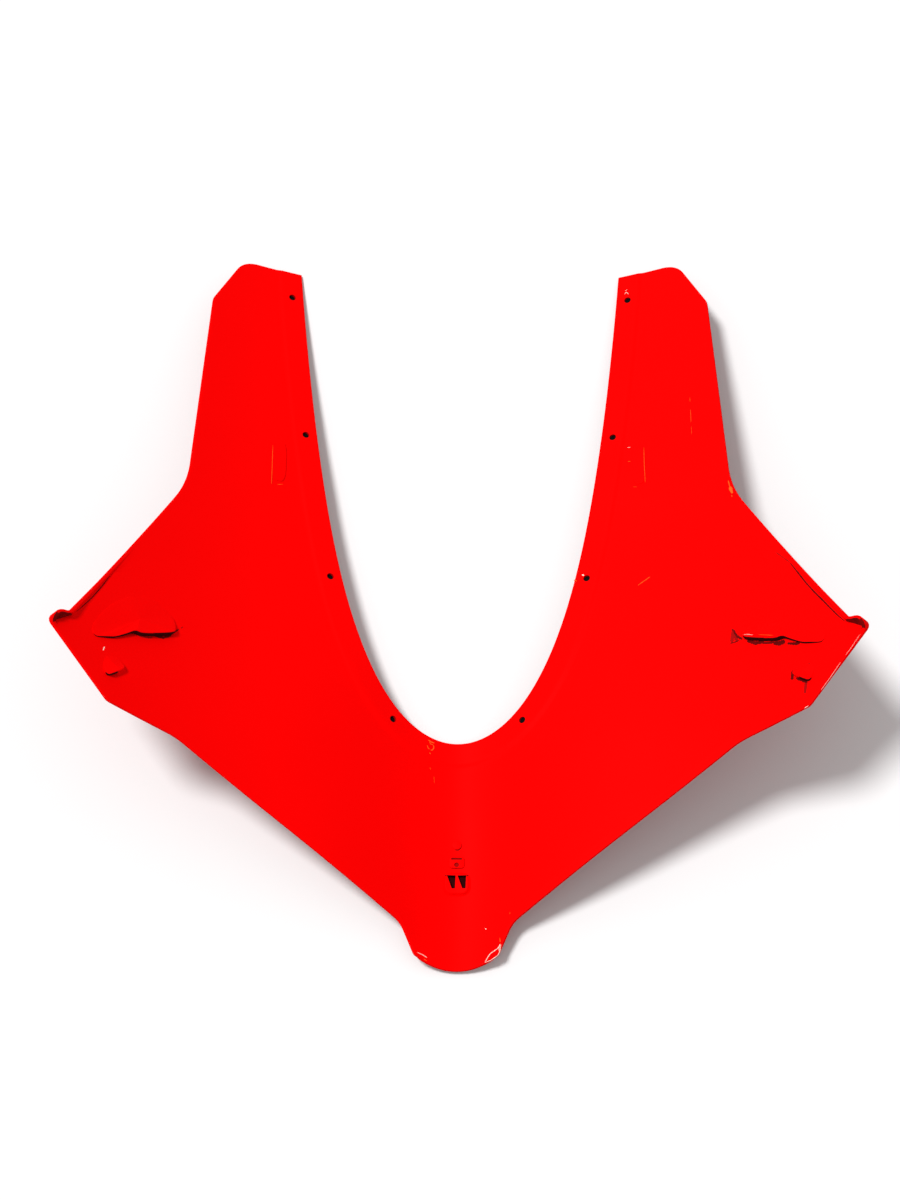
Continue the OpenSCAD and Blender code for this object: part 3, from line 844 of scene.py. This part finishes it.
# Painted shade: dark flakes along the inner foot of the turned edges, under the ledges and beside the
# lug walls, where shadow falls
SHADE_MARKS = [
    (FACE, 1.4, [
        [281, 50.5], [287, 39], [293, 27], [299, 16.5], [305, 7], [311, -3], [316, -11], [322, -19.5],
    ]),
    (FACE, 0.8, [[-294, 30], [-300.3, 16.2], [-307.7, 2.6], [-314, -7], [-319, -14.5]]),
    (FACE, 3.6, [[244, -17.5], [251, -21.5], [258, -21.5]]),
    (FACE, 2.4, [[256, -22.5], [261, -23.5], [266, -24]]),
    (FACE, 4.6, [[265, -24.5], [270, -26], [274.5, -25]]),
    (FACE, 3.0, [[276, -27.5], [281, -29], [286, -30]]),
    (PROUD, 2.8, [[232.5, -3.5], [235.5, -11], [240.5, -15.5]]),
    (PROUD, 1.2, [[230.5, -17.5], [234, -17], [238, -16]]),
    (PROUD, 3.0, [[279.8, -53.5], [278.8, -58.5], [278.5, -62.5]]),
    (PROUD, 2.4, [[281.5, -61.2], [286, -64.4], [290.5, -67.6]]),
    (FACE, 2.4, [[-257, -20.3], [-249.5, -20.3], [-243, -16.5]]),
    (FACE, 1.4, [[-243, -15.5], [-239.5, -11.5], [-237, -9]]),
    (FACE, 0.8, [[-235.5, -8], [-234, -6]]),
]
# Fainter painted shade: the shadow of the lug, the ends of the ledges and the lower arc of the stop
FAINT_SHADE_MARKS = [
    (WALL + 0.05, 0.8, [[270, 63.5], [276, 56.5], [281.5, 50]]),
    (FACE, 2.6, [[289.5, -65.5], [288.7, -71], [288, -77]]),
    (WALL + 0.6, 0.6, [[290.6, -50.5], [293.8, -51]]),
    (WALL + 0.9, 0.6, [[290.4, -50.5], [289.8, -52.4]]),
    (PROUD, 3.0, [[233.4, -4], [232.8, -10], [231.6, -17.5]]),
    (PROUD, 3.0, [[234.5, -9], [235, -13], [236.5, -16.5]]),
    (FACE, 1.1, [[-1.8, -170.7], [1.4, -170.9], [3.4, -169.5], [4.4, -167]]),
    (FACE, 0.7, [[-282, -54.5], [-281, -59.5]]),
    (FACE, 1.8, [[-269, -23.5], [-263, -23.5], [-258, -22.5]]),
]
FLAKE = 0.15
BRIM = 0.02
KEEL = 0.3


def flake(height, width, corners, seed):
    """A thin closed strip along a line. Its half width is that of an ellipse with
    a seeded waver, its sides are BRIM high, its back is a ridge FLAKE high, and it
    sinks into the paint by KEEL. The line through its corners is divided every half
    millimetre."""
    corners = np.asarray(corners, float)
    run = np.concatenate([[0], np.cumsum(np.linalg.norm(np.diff(corners, axis=0), axis=1))])
    n = max(6, int(run[-1] / 0.5))
    at = np.linspace(0, run[-1], n)
    line = np.column_stack([np.interp(at, run, corners[:, 0]), np.interp(at, run, corners[:, 1])])
    soft = line.copy()
    soft[1:-1] = (line[:-2] + line[1:-1] * 2 + line[2:]) / 4
    along = unit(np.gradient(soft, axis=0))
    side = np.stack([along[:, 1], -along[:, 0]], -1)
    k = np.linspace(-1, 1, n)
    waver = np.random.default_rng(seed).uniform(0.6, 1.15, n)
    half = (width / 2 * (1 - k**4) ** 0.5 * waver)[1:-1, None]
    soft, side, h = soft[1:-1], side[1:-1], np.full(n - 2, float(height))
    rings = np.stack([
        lifted(soft - side * half, h + BRIM), lifted(soft, h + FLAKE),
        lifted(soft + side * half, h + BRIM), lifted(soft, h - KEEL),
    ], axis=1)
    return stacked(rings, lifted(line[0], height), lifted(line[-1], height))


def worn_paint_and_highlight(name, light, dark):
    """Bare primer and thin paint, and the painted highlights drawn with them: chalky, dull, mottled at
    about a millimetre.
    """
    return mottled(name, light, dark, 900.0, 2.0, 0.2, 0.0001, 0.85)


for name, marks, material in (
    ("primer_chips_and_painted_highlights", PALE_CHIPS_AND_HIGHLIGHTS, worn_paint_and_highlight("pale_primer_and_painted_highlights", "#FFF6EA", "#F2C9B4")),
    ("thin_paint_and_painted_highlights", ORANGE_WEAR_AND_HIGHLIGHTS, worn_paint_and_highlight("thin_orange_paint_and_highlights", "#FF7A28", "#FF3C08")),
    ("painted_shade_streaks", SHADE_MARKS, painted_shade("painted_shade_streaks", "#2C0101", "#860202")),
    ("faint_painted_shade_streaks", FAINT_SHADE_MARKS, painted_shade("faint_painted_shade", "#8A0303", "#C00404")),
):
    finished(solid(name, *merged([flake(*mark, seed) for seed, mark in enumerate(marks)])), material)

# Floor, light and camera
# A plain white floor under soft light from the upper left, seen from well above
# with the nose toward the viewer. The camera's sizes are in millimetres and degrees.
FAR = 8
floor_mesh = bpy.data.meshes.new("floor")
floor_mesh.from_pydata(
    [(-FAR, -FAR, 0), (FAR, -FAR, 0), (FAR, FAR, 0), (-FAR, FAR, 0)], [], [(0, 1, 2, 3)])
floor = bpy.data.objects.new("floor", floor_mesh)
bpy.context.scene.collection.objects.link(floor)
floor_paint = new_material("white_floor")
paper = floor_paint.node_tree
seen = node(paper, "ShaderNodeLightPath").outputs["Is Camera Ray"]
shade = node(
    paper, "ShaderNodeMix",
    {"data_type": "RGBA", 6: linear("#BEBEBE"), 7: linear("#F6F6F6")}, {0: seen})
floor_shader = node(paper, "ShaderNodeBsdfDiffuse", links={"Color": shade.outputs[2]})
node(paper, "ShaderNodeOutputMaterial", links={"Surface": floor_shader.outputs["BSDF"]})
floor_mesh.materials.append(floor_paint)

world = bpy.data.worlds.new("studio")
bpy.context.scene.world = world
world.use_nodes = True
world.node_tree.nodes.clear()
ray = node(world.node_tree, "ShaderNodeLightPath")
seen = node(
    world.node_tree, "ShaderNodeMath", {"operation": "MAXIMUM"},
    {0: ray.outputs["Is Camera Ray"], 1: ray.outputs["Is Glossy Ray"]},
)
seen = node(
    world.node_tree, "ShaderNodeMath", {"operation": "MAXIMUM"},
    {0: seen.outputs[0], 1: ray.outputs["Is Transmission Ray"]},
)
level = node(
    world.node_tree, "ShaderNodeMapRange", {"To Min": 0.47, "To Max": 1.0}, {"Value": seen.outputs[0]})
sky = node(
    world.node_tree, "ShaderNodeBackground", {"Color": (1.0, 1.0, 1.0, 1.0)},
    {"Strength": level.outputs["Result"]})
node(world.node_tree, "ShaderNodeOutputWorld", links={"Surface": sky.outputs["Background"]})

lamp = bpy.data.lights.new("key", "SUN")
lamp.energy = 2.35
lamp.angle = np.radians(13)
key = bpy.data.objects.new("key", lamp)
bpy.context.scene.collection.objects.link(key)


def aimed(toward, roll=0.0):
    """The turn of an object that looks along a direction with its top upright,
    and is then rolled by an angle in degrees, clockwise in its own picture."""
    ahead = unit(np.asarray(toward, float))
    right = unit(np.cross(ahead, [0, 0, 1]))
    top = np.cross(right, ahead)
    a = np.radians(roll)
    right, top = right * np.cos(a) + top * np.sin(a), top * np.cos(a) - right * np.sin(a)
    return Matrix(np.column_stack([right, top, -ahead]).tolist()).to_4x4()


key.matrix_world = aimed([0.42, -0.14, -1.0])

CAMERA_AZIMUTH = 0.43
CAMERA_ELEVATION = 68.8
CAMERA_ROLL = 0.85
CAMERA_DISTANCE = 3200.0
PIXEL = 0.858
FRAME_HEIGHT = 1200
SENSOR = 36.0
target = np.array([-7.3, 35.8 - MIDDLE_Y, 60.0])
azimuth, elevation = np.radians([CAMERA_AZIMUTH, CAMERA_ELEVATION])
ahead = np.array([
    np.sin(azimuth) * np.cos(elevation), np.cos(azimuth) * np.cos(elevation), -np.sin(elevation),
])
camera_data = bpy.data.cameras.new("camera")
camera_data.sensor_fit = "VERTICAL"
camera_data.sensor_height = SENSOR
camera_data.lens = SENSOR * CAMERA_DISTANCE / (PIXEL * FRAME_HEIGHT)
camera_data.clip_end = 100.0
camera = bpy.data.objects.new("camera", camera_data)
bpy.context.scene.collection.objects.link(camera)
stand = Matrix.Translation((target - ahead * CAMERA_DISTANCE) * MM)
camera.matrix_world = stand @ aimed(ahead, CAMERA_ROLL)
bpy.context.scene.camera = camera
bpy.context.scene.view_settings.view_transform = "Standard"
